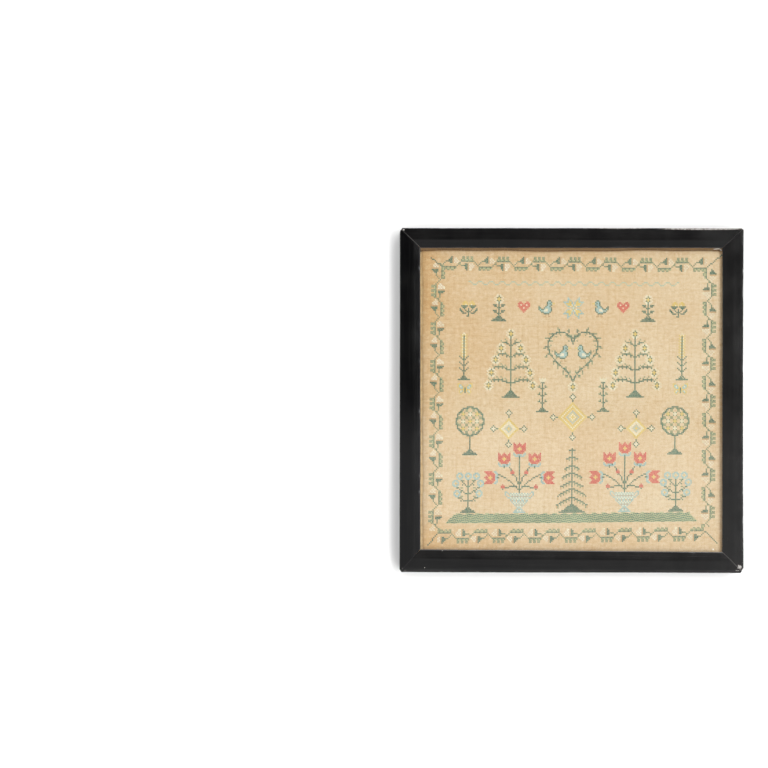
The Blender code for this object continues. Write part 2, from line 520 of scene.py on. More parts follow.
class Recipe:
    """A material, or the world, whose nodes are added one after another."""

    def __init__(self, name, kind="materials"):
        self.material = getattr(bpy.data, kind).new(name)
        self.material.use_nodes = True
        self.tree = self.material.node_tree

    def fill(self, node, inputs):
        """Sets or links inputs of a node, by their names or numbers."""
        for name, value in inputs.items():
            if isinstance(value, Value):
                self.tree.links.new(value.socket, node.inputs[name])
            else:
                node.inputs[name].default_value = value

    def add(self, kind, *values, inputs=None, output=0, **settings):
        """One output of a new node, whose first inputs are given in order and others by name."""
        node = self.tree.nodes.new("ShaderNode" + kind)
        for name, value in settings.items():
            setattr(node, name, value)
        self.fill(node, dict(enumerate(values)))
        self.fill(node, inputs or {})
        return Value(self, node.outputs[output])

    def math(self, operation, *values, clamp=False):
        return self.add("Math", *values, operation=operation, use_clamp=clamp)

    def uv(self):
        return self.add("UVMap")

    def place(self):
        return self.add("TexCoord", output="Object")

    def mark(self, name):
        return self.add("Attribute", attribute_name=name, output="Fac")

    def axes(self, vector):
        """The x, y and z of a vector."""
        node = self.add("SeparateXYZ", vector).socket.node
        return [Value(self, output) for output in node.outputs]

    def noise(self, vector, scale, detail=3.0, roughness=0.5):
        """Smooth noise of one scale, or of one scale for each axis."""
        if isinstance(scale, tuple):
            vector = self.add("VectorMath", vector, scale, operation="MULTIPLY")
            scale = 1.0
        inputs = {"Scale": scale, "Detail": detail, "Roughness": roughness}
        return self.add("TexNoise", vector, inputs=inputs)

    def mix(self, share, first, second, way="MIX"):
        inputs = {0: share, 6: first, 7: second}
        return self.add("Mix", inputs=inputs, output=2, data_type="RGBA", blend_type=way)

    def waves(self, along, start, lean, waves):
        """A line that leans and waves, with its waves given as height, length and phase."""
        line = self.math("MULTIPLY_ADD", along, lean, start)
        for height, length, phase in waves:
            angle = self.math("MULTIPLY_ADD", along, 2 * pi / length, phase)
            line = self.math("MULTIPLY_ADD", self.math("SINE", angle), height, line)
        return line

    def relief(self, *layers):
        """Bumps one on another, each as its height, the height's scale in metres and its strength."""
        normal = None
        for height, distance, strength in layers:
            inputs = {"Strength": strength, "Distance": distance, "Height": height}
            if normal:
                inputs["Normal"] = normal
            normal = self.add("Bump", inputs=inputs)
        return normal

    def surface(self, shader):
        """The material, with another shader than the usual one."""
        self.fill(self.tree.nodes["Material Output"], {0: shader})
        return self.material

    def finish(self, **inputs):
        """The material, with inputs of its usual shader, whose names take _ for a space."""
        spaced = {name.replace("_", " "): value for name, value in inputs.items()}
        self.fill(self.tree.nodes["Principled BSDF"], spaced)
        return self.material


# ---- Materials ----
# A noise is called with its scale, its detail and its roughness, and a spread with the span that it
# takes and the span that it gives.
def black_paint():
    """Glossy black paint over gesso on softwood, with worn arrises, a bare back, and painted sheen and
    highlights.
    """
    recipe = Recipe("glossy_black_paint")
    run = recipe.uv()
    place = recipe.place()
    brushed = recipe.noise(run, (40.0, 1500.0, 1.0), 3.0, 0.6)
    streaks = recipe.noise(run, (9.0, 620.0, 1.0), 3.0, 0.65)
    smears = recipe.noise(place, 38.0, 4.0, 0.6)
    grit = recipe.noise(place, 900.0, 2.0, 0.7)
    ragged = recipe.noise(place, 750.0, 4.0, 0.75)
    ragged_edge = ragged - 0.5

    # Haze: brush streaks and the grey mitre lines, with painted sheen and painted highlights that stand
    # in for reflections on the face.
    haze_and_sheen = recipe.mark("haze_and_sheen") * smears.spread(0.25, 0.75, 0.7, 1.3)
    haze_and_sheen += streaks.spread(0.52, 0.75, 0.0, 0.030)
    dust = grit.spread(0.66, 0.8) * smears.spread(0.4, 0.75) * 0.10
    paint = recipe.mix(smears.spread(0.35, 0.7), tone(4, 4, 5), tone(7, 7, 7))
    paint = recipe.mix(haze_and_sheen, paint, tone(110, 108, 106))
    paint = recipe.mix(dust, paint, tone(120, 112, 100))

    worn = recipe.mark("wear") + ragged_edge * 0.9
    brown = recipe.mix(ragged, tone(98, 86, 74), tone(62, 55, 48))
    gesso = recipe.mix(smears, tone(178, 175, 172), tone(144, 141, 138))
    colour = recipe.mix(worn.spread(0.50, 0.60), paint, brown)
    colour = recipe.mix(worn.spread(0.66, 0.76), colour, gesso)

    fibre = recipe.noise(run, (55.0, 2600.0, 1.0), 4.0, 0.65)
    ring = recipe.noise(run, (9.0, 420.0, 1.0), 2.0, 0.5)
    timber = recipe.mix(fibre, tone(112, 80, 50), tone(150, 112, 74))
    timber = recipe.mix(ring.spread(0.45, 0.62), timber, tone(84, 58, 36))
    timber = recipe.mix(smears.spread(0.56, 0.7, 0.0, 0.55), timber, tone(38, 30, 25))
    bare = (recipe.mark("bare") + ragged_edge * 0.8).spread(0.45, 0.55)
    colour = recipe.mix(bare, colour, timber)

    raw = recipe.math("MAXIMUM", bare, worn.spread(0.50, 0.62))
    gloss = smears.spread(0.3, 0.75, 0.07, 0.15) + brushed * 0.05
    rough = recipe.math("ADD", gloss, raw * 0.5, clamp=True)
    relief = recipe.relief(
        (brushed, 0.00002, 0.6),
        (smears, 0.00012, 0.5),
        (worn.spread(0.45, 0.65, 1.0, 0.0), 0.00012, 0.8),
        (fibre * bare, 0.00012, 0.8),
    )
    return recipe.finish(Base_Color=colour, Roughness=rough, Normal=relief)


def mitre_dirt():
    """Glue, filler and dust in the joint between two rails."""
    recipe = Recipe("mitre_filler")
    grain = recipe.noise(recipe.place(), 700.0, 3.0, 0.7)
    colour = recipe.mix(grain.spread(0.35, 0.65), tone(34, 33, 32), tone(96, 93, 90))
    return recipe.finish(Base_Color=colour, Roughness=0.8, Normal=recipe.relief((grain, 0.0001, 0.6)))


def old_board():
    """Thin raw softwood with long grain, with painted shade across the strip under the top rail and a
    painted shadow along each cut edge of the cloth.
    """
    recipe = Recipe("raw_softwood")
    place = recipe.place()
    side, level, _ = recipe.axes(place)
    bend = recipe.noise(place, (3.0, 9.0, 9.0), 2.0)
    bands = recipe.math("SINE", (level + bend * 0.03) * 560.0)
    fibre = recipe.noise(place, (26.0, 1300.0, 1300.0), 4.0, 0.6)
    stain = recipe.noise(place, 11.0, 4.0, 0.6)
    colour = recipe.mix(fibre, tone(234, 200, 152), tone(214, 178, 128))
    colour = recipe.mix(bands.spread(0.35, 1.0, 0.0, 0.40), colour, tone(186, 140, 92))
    colour = recipe.mix(stain.spread(0.5, 0.75, 0.0, 0.4), colour, tone(170, 124, 80))
    # Painted shade: darker across the strip just under the top rail.
    colour = recipe.mix(level.spread(0.1555, 0.1572, 0.0, 0.72), colour, tone(128, 88, 52))

    # A painted shadow lies in a thin line along each cut edge of the cloth.
    height = CLOTH_TOP - CLOTH_BOTTOM
    start = -HALF_SIGHT + LEFT_EDGE_SHOW + LEFT_EDGE_LEAN * (1 + CLOTH_BOTTOM / height)
    left = recipe.waves(level, start, -LEFT_EDGE_LEAN / height, LEFT_EDGE_WAVES)
    beside = left - side
    above = level - recipe.waves(side, CLOTH_TOP, 0.0, TOP_EDGE_WAVES)
    line = above.spread(0.0004, 0.0010, 0.75, 0.0) * above.spread(-0.0012, -0.0004)
    colour = recipe.mix(beside.spread(0.0001, 0.0005, 0.22, 0.0), colour, tone(130, 84, 52))
    colour = recipe.mix(line, colour, tone(70, 42, 22))
    relief = recipe.relief((fibre, 0.0001, 0.6), (bands, 0.00006, 0.4))
    rough = fibre.spread(0.2, 0.8, 0.68, 0.86)
    return recipe.finish(Base_Color=colour, Roughness=rough, Normal=relief)


def window_glass():
    """Front face of the pane: it mirrors a little, and lets the rest through."""
    recipe = Recipe("window_glass_face")
    place = recipe.place()
    film = recipe.noise(place, 22.0, 4.0, 0.6)
    relief = recipe.relief((recipe.noise(place, 14.0, 2.0), 0.00008, 0.5))
    clear = recipe.add("BsdfTransparent", (0.965, 0.978, 0.968, 1.0))
    finish = {"Roughness": film.spread(0.3, 0.8, 0.02, 0.07), "Normal": relief}
    mirror = recipe.add("BsdfAnisotropic", (1.0, 1.0, 1.0, 1.0), inputs=finish)
    # The face stands for both surfaces of the pane, and mirrors more at a slant, as glass does.
    slant = recipe.add("LayerWeight", 0.5, relief, output="Facing")
    rise = recipe.math("POWER", slant, 5.0)
    share = recipe.math("MULTIPLY_ADD", rise, 1.0 - GLASS_MIRROR, GLASS_MIRROR)
    return recipe.surface(recipe.add("MixShader", share, clear, mirror))


def glass_body():
    """Rear face and edges of the pane, with the faint green of old glass."""
    recipe = Recipe("window_glass_body")
    film = recipe.noise(recipe.place(), 30.0, 3.0, 0.6)
    tint = recipe.mix(film, (0.975, 0.988, 0.978, 1.0), (0.955, 0.972, 0.960, 1.0))
    return recipe.surface(recipe.add("BsdfTransparent", tint))


def linen():
    """Fine plain weave, one warp and one weft thread at half a stitch, with slubs, age and painted shade.
    """
    recipe = Recipe("aged_linen")
    place = recipe.place()
    run = recipe.uv()
    across, up, _ = recipe.axes(run)
    threads_per_unit = UV_STITCHES * THREADS_PER_STITCH
    warp_wave = recipe.math("SINE", across * threads_per_unit * pi)
    weft_wave = recipe.math("SINE", up * threads_per_unit * pi)
    weft_share = recipe.math("MULTIPLY_ADD", warp_wave * weft_wave, 0.5, 0.5)
    warp_share = recipe.math("SUBTRACT", 1.0, weft_share)
    weft = recipe.math("ABSOLUTE", weft_wave) * weft_share
    warp = recipe.math("ABSOLUTE", warp_wave) * warp_share
    threads = recipe.math("MAXIMUM", weft, warp)

    # Each thread has its own thickness and shade along its length.
    weft_slub = recipe.noise(run, (26.0, 190.0, 1.0), 2.0, 0.6)
    warp_slub = recipe.noise(run, (190.0, 20.0, 1.0), 2.0, 0.6)
    weft_tone = recipe.noise(run, (4.5, 62.0, 1.0), 3.0, 0.65)
    warp_tone = recipe.noise(run, (58.0, 3.5, 1.0), 2.0, 0.6)
    blotch = recipe.noise(run, (34.0, 44.0, 1.0), 3.0, 0.6)
    stain = recipe.noise(place, 9.0, 4.0, 0.62)
    # Browner with age and stains, and with painted shade just inside the right sight edge.
    aged_and_shaded = recipe.mark("aged_and_shaded") + stain.spread(0.3, 0.7, -0.16, 0.16)
    colour = recipe.mix(aged_and_shaded.spread(0.0, 1.0), tone(235, 216, 190), tone(208, 162, 106))
    darker = (
        (weft_tone, 0.30),
        (warp_tone, 0.26),
        (weft_slub, 0.32),
        (warp_slub, 0.30),
        (blotch, 0.34),
    )
    for value, share in darker:
        colour = recipe.mix(value.spread(0.50, 0.76, 0.0, share), colour, tone(222, 196, 162), "MULTIPLY")
    colour = recipe.mix(blotch.spread(0.48, 0.27, 0.0, 0.3), colour, tone(244, 228, 202))
    hole = threads.spread(0.10, 0.42, 1.0, 0.0)
    colour = recipe.mix(hole * 0.45, colour, tone(168, 124, 78))
    # Darker along the cut edges: partly soiling of the edge and partly painted shadow.
    colour = recipe.mix(recipe.mark("cut"), colour, tone(150, 108, 68))
    relief = recipe.relief((threads, 0.00022, 0.9), (weft_slub, 0.0002, 0.5), (blotch, 0.0003, 0.3))
    sheen = {"Sheen_Weight": 0.15, "Sheen_Roughness": 0.5, "Specular_IOR_Level": 0.2}
    return recipe.finish(Base_Color=colour, Roughness=0.86, Normal=relief, **sheen)


def silk(name, main, dark, pale):
    """Floss silk: fine filaments along each leg, faded and soiled unevenly."""
    recipe = Recipe(name)
    filaments = recipe.noise(recipe.uv(), (2.0, 11.0, 1.0), 3.0, 0.6)
    fading = recipe.noise(recipe.place(), 26.0, 4.0, 0.65)
    colour = recipe.mix(recipe.mark("shade").spread(0.0, 1.0), dark, main)
    colour = recipe.mix(fading.spread(0.42, 0.75, 0.0, 0.75), colour, pale)
    colour = recipe.mix(filaments.spread(0.5, 0.8, 0.0, 0.35), colour, dark)
    relief = recipe.relief((filaments, 0.00008, 0.8))
    rough = filaments.spread(0.3, 0.7, 0.42, 0.62)
    sheen = {"Sheen_Weight": 0.2, "Specular_IOR_Level": 0.35}
    return recipe.finish(Base_Color=colour, Roughness=rough, Normal=relief, **sheen)


def gesso_crumb():
    recipe = Recipe("chipped_gesso")
    grain = recipe.noise(recipe.place(), 1400.0, 3.0, 0.7)
    colour = recipe.mix(grain, tone(244, 240, 232), tone(206, 198, 184))
    return recipe.finish(Base_Color=colour, Roughness=0.85, Normal=recipe.relief((grain, 0.0001, 0.8)))


def pale_floor():
    recipe = Recipe("pale_floor")
    tint = recipe.noise(recipe.place(), 3.0, 2.0)
    colour = recipe.mix(tint, (0.90, 0.90, 0.895, 1.0), (0.91, 0.91, 0.905, 1.0))
    return recipe.finish(Base_Color=colour, Roughness=0.9)


# ---- Rails ----
def arc(centre, radius, start, end, steps):
    points = []
    for step in range(steps + 1):
        angle = radians(start + (end - start) * step / steps)
        points.append((centre[0] + radius * cos(angle), centre[1] + radius * sin(angle)))
    return points


def rail_section():
    """Section of a rail as (inset, height, bare, arris), once round from its outer rear edge."""
    slope = SLOPE_DROP / (RAIL_WIDTH - FLAT_WIDTH)
    sight_top = RAIL_DEPTH - SLOPE_DROP - SIGHT_ROUND + SIGHT_ROUND * slope
    section = [(0.0006, 0.0, 1.0, 0.0), (0.0, 0.0005, 0.0, 0.0)]
    section += [(0.0, height, 0.0, 0.0) for height in SIDE_LEVELS]
    outer = arc((OUTER_ROUND, RAIL_DEPTH - OUTER_ROUND), OUTER_ROUND, 180, 90, 6)
    for step, (inset, height) in enumerate(outer):
        section.append((inset, height, 0.0, sin(pi * step / 6) ** 0.6 if 0 < step < 6 else 0.25))
    section += [(inset, RAIL_DEPTH, 0.0, 0.0) for inset in FLAT_INSETS]
    for inset in RIDGE_INSETS:
        past_ridge = max(-RIDGE_EASE, inset - FLAT_WIDTH)
        if past_ridge < RIDGE_EASE:
            past_ridge = (past_ridge + RIDGE_EASE) ** 2 / (4 * RIDGE_EASE)
        section.append((inset, RAIL_DEPTH - slope * past_ridge, 0.0, 0.0))
    sight = arc((RAIL_WIDTH - SIGHT_ROUND, sight_top), SIGHT_ROUND, 90, 0, 5)
    for step, (inset, height) in enumerate(sight):
        section.append((inset, height, 0.0, 0.5 * sin(pi * max(0.7, step) / 6)))
    section.append((RAIL_WIDTH, LIP_BOTTOM + 0.00015, 0.0, 0.0))
    rebate = RAIL_WIDTH - LIP_WIDTH
    rear = (
        (RAIL_WIDTH - 0.0004, LIP_BOTTOM),
        (rebate, LIP_BOTTOM),
        (rebate, 0.010),
        (rebate, 0.005),
        (rebate, 0.0005),
        (rebate - 0.0005, 0.0),
        (0.008, 0.0),
        (0.003, 0.0),
    )
    return section + [(inset, height, 1.0, 0.0) for inset, height in rear]


def rail_stations():
    """Places along a rail from -1 to 1, close together near its ends."""
    distances = list(END_STATIONS)
    while distances[-1] < HALF_FRAME - 0.0012:
        distances.append(distances[-1] + 0.0014)
    left = [-(1 - distance / HALF_FRAME) for distance in distances]
    return left + [0.0] + [-place for place in reversed(left)]


def plan_drift(x, y):
    """How far a point of the frame lies off the square, from its place in plan."""
    across = limit((x / HALF_FRAME + 1) / 2)
    up = limit((y / HALF_FRAME + 1) / 2)
    inward = limit((HALF_FRAME - max(abs(x), abs(y))) / RAIL_WIDTH)
    outer = between(OUTER_DRIFT, across, up)
    sight = between(SIGHT_DRIFT, across, up)
    hollow = RIGHT_SIDE_HOLLOW * (1 - (y / HALF_FRAME) ** 2) * ease(x, 0.160, HALF_FRAME)
    drift_x = blend(outer[0], sight[0], inward) - hollow * (1 - inward)
    return drift_x, blend(outer[1], sight[1], inward)


def bare_spot(x, y):
    """How strongly gesso shows through the paint at a place in plan."""
    shows = 0.0
    for spot_x, spot_y, half_x, half_y, strength in BARE_SPOTS:
        away = hypot((x - spot_x) / half_x, (y - spot_y) / half_y)
        shows = max(shows, strength * fade(away, 0.55, 1.25))
    return shows


def corner_cut(x, y):
    """How far a point is moved in plan by the worn-off corner that it lies in, if any."""
    for sign_x, sign_y, reach_x, reach_y in CORNER_CUTS:
        from_corner = (HALF_FRAME - sign_x * x) / reach_x + (HALF_FRAME - sign_y * y) / reach_y
        if from_corner < 1:
            push = (1 - from_corner) / (reach_x ** -2 + reach_y ** -2)
            return -sign_x * push / reach_x, -sign_y * push / reach_y
    return 0.0, 0.0


def painted_face_sheen(inset, arris, flat, slope, sight, rim):
    """How much painted sheen is on the paint at a place across a rail's face: a painted reflection on the
    flat and the slope, and painted highlights on the sight edge and along the rim of the flat.
    """
    haze_and_sheen = blend(flat, slope, ease(inset, FLAT_WIDTH - 0.0030, FLAT_WIDTH + 0.0040))
    haze_and_sheen += rim * ease(inset, 0.0007, 0.0013) * fade(inset, 0.0022, 0.0034)
    if inset > FLAT_WIDTH:
        haze_and_sheen = max(haze_and_sheen, min(1.0, 2.4 * arris) * sight)
    return haze_and_sheen


def rail_knocks(rail):
    """The broken corners of a rail, each as a corner point and the way out from it."""
    knocks = []
    for knocked, end, along, across, down in KNOCKS:
        if knocked == rail:
            outward = Vector((end / along, -1 / across, 1 / down)).normalized()
            knocks.append((Vector((end * HALF_FRAME, -HALF_FRAME + across, RAIL_DEPTH)), outward))
    return knocks


def knock_off(point, worn, knocks):
    """A rail's point and its wear after its broken corners."""
    for corner, outward in knocks:
        beyond = (point - corner).dot(outward)
        if beyond > -0.0002:
            rough = KNOCK_ROUGHNESS * ripple(*(point * 700))
            if beyond > 0:
                point -= outward * (beyond + rough)
            worn = max(worn, 0.66 + 0.25 * ripple(*(point * 500)))
    return point, worn


def rail_point(x, seed, inset, height, arris, run):
    """A point of a rail lying along the bottom, with its hand-made bows and nicks, and their depth."""
    bow = uneven(LONG_BOW, x, seed) + uneven(SHORT_BOW, x, seed, 3)
    sight_bow = uneven(SIGHT_BOW, x, seed, 8) * ease(inset, 0.014, RAIL_WIDTH)
    lift = uneven(FACE_LIFT, x, inset * 70, seed) * ease(height, 0.012, 0.017)
    nick = max(0.0, ripple(x * 240, run * 300, seed) - 0.30) * arris * NICK_DEPTH
    wide_nick = max(0.0, ripple(x * 70, 5.5, seed) - 0.35) * arris * WIDE_NICK_DEPTH
    y = -HALF_FRAME + inset + bow * fade(inset, 0.0, NICK_REACH) + sight_bow
    if inset < NICK_REACH:
        y += nick + wide_nick
    else:
        y -= nick
    return Vector((x, y, height + lift - (nick + wide_nick))), nick + wide_nick


def add_rail(name, turn, wear, mitre, flat_sheen, slope_sheen, sight_highlight, rim_highlight, finishes):
    section = rail_section()
    stations = rail_stations()
    runs = [0.0]
    for first, second in zip(section, section[1:]):
        runs.append(runs[-1] + hypot(second[0] - first[0], second[1] - first[1]))
    knocks = rail_knocks(name)
    seed = turn * 0.37
    cosine = cos(radians(turn))
    sine = sin(radians(turn))

    points = []
    uvs = []
    marks = {"wear": [], "bare": [], "haze_and_sheen": []}
    for station in stations:
        end = 1 if station > 0 else 0
        arris_wear = blend(wear[1], wear[2 * end], ease(abs(station), 0.35, 1.0))
        flat = blend(*flat_sheen, (station + 1) / 2)
        from_mitre = (1 - abs(station)) * HALF_FRAME
        for (inset, height, bare, arris), run in zip(section, runs):
            x = station * (HALF_FRAME - inset - MITRE_GAP / sqrt(2))
            point, nicks = rail_point(x, seed, inset, height, arris, run)
            worn = arris * (arris_wear + 0.25 * ripple(x * 45, 2.0, seed)) + 400 * nicks
            # Painted sheen and painted highlights across the face, then the grey mitre line near the
            # rail's ends.
            haze_and_sheen = painted_face_sheen(inset, arris, flat, slope_sheen, sight_highlight, rim_highlight)
            if height > HAZE_LEVEL:
                line = mitre[end] * fade(from_mitre, 0.0002, 0.0009)
                haze_and_sheen = max(haze_and_sheen, line * (0.85 + 0.5 * ripple(inset * 300, seed, 7.0)))
            point, worn = knock_off(point, worn, knocks)
            plan_x = point.x * cosine - point.y * sine
            plan_y = point.x * sine + point.y * cosine
            if height > BARE_LEVEL:
                worn = max(worn, bare_spot(plan_x, plan_y))
            drift_x, drift_y = plan_drift(plan_x, plan_y)
            cut_x, cut_y = corner_cut(plan_x, plan_y)
            points.append((plan_x + drift_x + cut_x, plan_y + drift_y + cut_y, point.z))
            uvs.append((x + turn * 0.01, run + turn * 0.003))
            marks["wear"].append(worn)
            marks["bare"].append(bare)
            marks["haze_and_sheen"].append(haze_and_sheen)

    count = len(section)
    faces = tube(0, len(stations), count)
    faces.append(tuple(reversed(range(count))))
    faces.append(tuple(range(len(points) - count, len(points))))
    sides = [0] * (len(faces) - 2) + [1, 1]
    rail = add_piece("painted_" + name, points, faces, finishes, "ebonised_wood", uvs, marks, sides, 40)
    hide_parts(name)


# ---- Flat sheets: glass and board ----
def sheet_grid(cells, point, below, above):
    """A closed sheet over a grid: point(across, up) gives x, y; below and above give its faces' z."""
    points = []
    for level in (above, below):
        for row in range(cells + 1):
            for column in range(cells + 1):
                x, y = point(column / cells, row / cells)
                points.append((x, y, level(x, y)))
    width = cells + 1
    base = width * width
    faces = []
    sides = []
    for row in range(cells):
        for column in range(cells):
            corner = row * width + column
            quad = (corner, corner + 1, corner + 1 + width, corner + width)
            faces.append(quad)
            faces.append(tuple(base + index for index in reversed(quad)))
            sides += [0, 1]
    for step in range(cells):
        rim = (
            (step + 1, step),
            (cells * width + step, cells * width + step + 1),
            (step * width, (step + 1) * width),
            ((step + 1) * width + cells, step * width + cells),
        )
        for first, second in rim:
            faces.append((first, second, base + second, base + first))
            sides.append(1)
    return points, faces, sides


def add_glass():
    def corner(across, up):
        return (2 * across - 1) * HALF_SHEET, (2 * up - 1) * HALF_SHEET

    def face(x, y):
        return GLASS_TOP + 0.00003 * ripple(x * 12, y * 9, 4.0)

    def rear(x, y):
        return GLASS_BOTTOM

    points, faces, sides = sheet_grid(40, corner, rear, face)
    materials = [window_glass(), glass_body()]
    glass = add_piece("old_window_glass", points, faces, materials, "window_glass", parts=sides, sharp=30)
    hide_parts("glass_pane")


def add_board():
    def corner(across, up):
        x = (2 * across - 1) * HALF_SHEET
        y = (2 * up - 1) * HALF_SHEET
        rim_x = ease(abs(x), 0.155, 0.164)
        rim_y = ease(abs(y), 0.155, 0.164)
        x -= rim_x * (1 if x > 0 else -1) * (0.0002 + 0.0002 * ripple(y * 30, 2.0))
        y -= rim_y * (1 if y > 0 else -1) * (0.0002 + 0.0002 * ripple(x * 30, 6.0))
        return x, y

    def face(x, y):
        return BOARD_TOP

    def rear(x, y):
        return BOARD_BOTTOM + 0.00005 + 0.00005 * ripple(x * 20, y * 60)

    points, faces, _ = sheet_grid(48, corner, rear, face)
    board = add_piece("softwood_board", points, faces, [old_board()], "aged_board", sharp=30)
    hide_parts("back_board")


# ---- Cloth ----
def wave_sum(place, waves):
    total = 0.0
    for height, length, phase in waves:
        total += height * sin(2 * pi * place / length + phase)
    return total


def cloth_left(y):
    """The cloth's cut left edge at a height."""
    up = (y - CLOTH_BOTTOM) / (CLOTH_TOP - CLOTH_BOTTOM)
    return -HALF_SIGHT + LEFT_EDGE_SHOW + LEFT_EDGE_LEAN * (1 - up) + wave_sum(y, LEFT_EDGE_WAVES)


def cloth_top(x):
    """The cloth's cut top edge at a place across."""
    return CLOTH_TOP + wave_sum(x, TOP_EDGE_WAVES)


def linen_middle(x, y):
    """Height of the linen's middle layer at a place on it."""
    left = cloth_left(y)
    top = cloth_top(x)
    across = (x - left) / (CLOTH_RIGHT - left)
    up = (y - CLOTH_BOTTOM) / (top - CLOTH_BOTTOM)
    swell = 0.0
    for share, waves_across, waves_up, phase in SWELLS:
        swell += share * sin(2 * pi * (waves_across * across + waves_up * up) + phase)
    pucker = PUCKER_HEIGHT * (ripple(x * 85, y * 85, 1.0) + 0.6 * ripple(x * 30, y * 170, 5.0))
    level = CLOTH_MIDDLE + LINEN_RAISE + CLOTH_SWELL * swell + pucker
    on_board = BOARD_TOP + LINEN_THICKNESS / 2 + 0.0001
    return blend(on_board, level, ease(min(x - left, top - y), 0.0, EDGE_SETTLE))


def stitch_place(column, row):
    """Where the crossing of a column and a row of the chart lies on the cloth."""
    across = (column / HALF_COLUMNS + 1) / 2
    up = (row / HALF_ROWS + 1) / 2
    x, y = between(DESIGN_CORNERS, across, up)
    x = x + 0.00035 * sin(5.0 * up + 0.8) + 0.00015 * sin(13.0 * up + 3.0 * across)
    y = y + 0.00045 * sin(4.2 * across + 1.7) + 0.00018 * sin(11.0 * across + 2.0 * up)
    return x, y


def chart_place(x, y):
    """The column and row of the chart, with fractions, at a place on the cloth."""
    column = x / PITCH_ACROSS
    row = y / PITCH_UP
    for _ in range(5):
        reached = stitch_place(column, row)
        column += (x - reached[0]) / PITCH_ACROSS
        row += (y - reached[1]) / PITCH_UP
    return column, row


def cloth_age_and_shade(x, y):
    """How brown the linen is: most along its left, top and bottom, and at its top left, with painted
    shade just inside the right sight edge.
    """
    up = (y - CLOTH_BOTTOM) / (cloth_top(x) - CLOTH_BOTTOM)
    to_right = x / HALF_SIGHT
    age_and_shade = 0.24 + 0.14 * up - 0.11 * to_right
    age_and_shade += (0.10 + 0.16 * up) * fade(x - cloth_left(y), 0.0, 0.035)
    age_and_shade += 0.10 * fade(cloth_top(x) - y, 0.0, 0.045)
    age_and_shade += 0.06 * fade(HALF_SIGHT - x, 0.0, 0.014)
    # Painted shade under the right rail: browner within a few millimetres of the right sight edge.
    age_and_shade += 0.16 * fade(HALF_SIGHT - x, 0.001, 0.004)
    age_and_shade += (0.28 - 0.08 * to_right) * fade(HALF_SIGHT + y, 0.0, 0.044)
    return age_and_shade + 0.09 * fade(hypot(x + 0.145, y - 0.120), 0.0, 0.06)


def add_linen():
    def corner(across, up):
        level_y = CLOTH_BOTTOM + up * (CLOTH_TOP - CLOTH_BOTTOM)
        left = cloth_left(level_y) + 0.00012 * ripple(level_y * 420, 3.0)
        x = left + across * (CLOTH_RIGHT - left)
        top = cloth_top(x) + 0.00012 * ripple(x * 420, 9.0)
        return x, CLOTH_BOTTOM + up * (top - CLOTH_BOTTOM)

    def face(x, y):
        return linen_middle(x, y) + LINEN_THICKNESS / 2

    def rear(x, y):
        return linen_middle(x, y) - LINEN_THICKNESS / 2

    points, faces, _ = sheet_grid(LINEN_CELLS, corner, rear, face)
    uvs = []
    marks = {"aged_and_shaded": [], "cut": []}
    for x, y, z in points:
        column, row = chart_place(x, y)
        uvs.append((column / UV_STITCHES, row / UV_STITCHES))
        marks["aged_and_shaded"].append(cloth_age_and_shade(x, y))
        left_cut = LEFT_CUT_DARK * fade(x - cloth_left(y), 0.0, CUT_WIDTH)
        top_cut = TOP_CUT_DARK * fade(cloth_top(x) - y, 0.0, CUT_WIDTH)
        marks["cut"].append(max(left_cut, top_cut))
    ground = add_piece("linen_ground", points, faces, [linen()], "stitched_linen", uvs, marks, sharp=50)
    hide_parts("sampler_cloth")
    return ground


# ---- The chart ----
class Chart(dict):
    """Crosses by column and row, each with the letter of its colour."""

    def dot(self, column, row, colour):
        self[(round(column), round(row))] = colour

    def pair(self, column, row, colour):
        """A cross on each side of the middle."""
        self.dot(-column, row, colour)
        self.dot(column, row, colour)

    def line(self, first, second, colour):
        steps = max(abs(second[0] - first[0]), abs(second[1] - first[1]), 1)
        for step in range(steps + 1):
            share = step / steps
            self.dot(blend(first[0], second[0], share), blend(first[1], second[1], share), colour)

    def stamp(self, motif, column, row, flip=False, quarters=0):
        """A motif with the middle of its lowest row at a place, and turned about that place."""
        for number, line in enumerate(reversed(motif)):
            for position, colour in enumerate(line):
                x = position - (len(line) - 1) // 2
                y = number
                if flip:
                    x = -x
                for _ in range(quarters):
                    x, y = -y, x
                if colour != ".":
                    self.dot(column + x, row + y, colour)

    def lay(self, part, column, row):
        """Another chart with its middle at a place."""
        for (x, y), colour in part.items():
            self[(column + x, row + y)] = colour


def plant(half_width, height, stem):
    """A stem on a little mound."""
    chart = Chart()
    for step in range(height):
        reach = round(half_width * (1 - step / height) ** 1.5)
        for x in range(-reach, reach + 1):
            chart.dot(x, step, "G")
    for y in range(stem + 1):
        chart.dot(0, y, "G")
    return chart


def fir(height, half_width, tiers):
    """Drooping boughs on a stem, with a cone under the tip of each."""
    chart = plant(9, 7, height)
    for tier in range(tiers):
        top = round(6 + (tier + 1) * (height - 6) / tiers)
        reach = round(half_width * (1 - tier / (tiers + 0.5)))
        for x in range(1, reach + 1):
            level = top - round(x * 0.55)
            chart.pair(x, level, "G")
            if x < reach and x % 2 == 0:
                chart.pair(x, level - 1, "S")
                chart.pair(x, level - 2, "S")
        tip = top - round(reach * 0.55)
        chart.pair(reach, tip - 1, "T")
        chart.pair(reach, tip - 2, "T")
    return chart


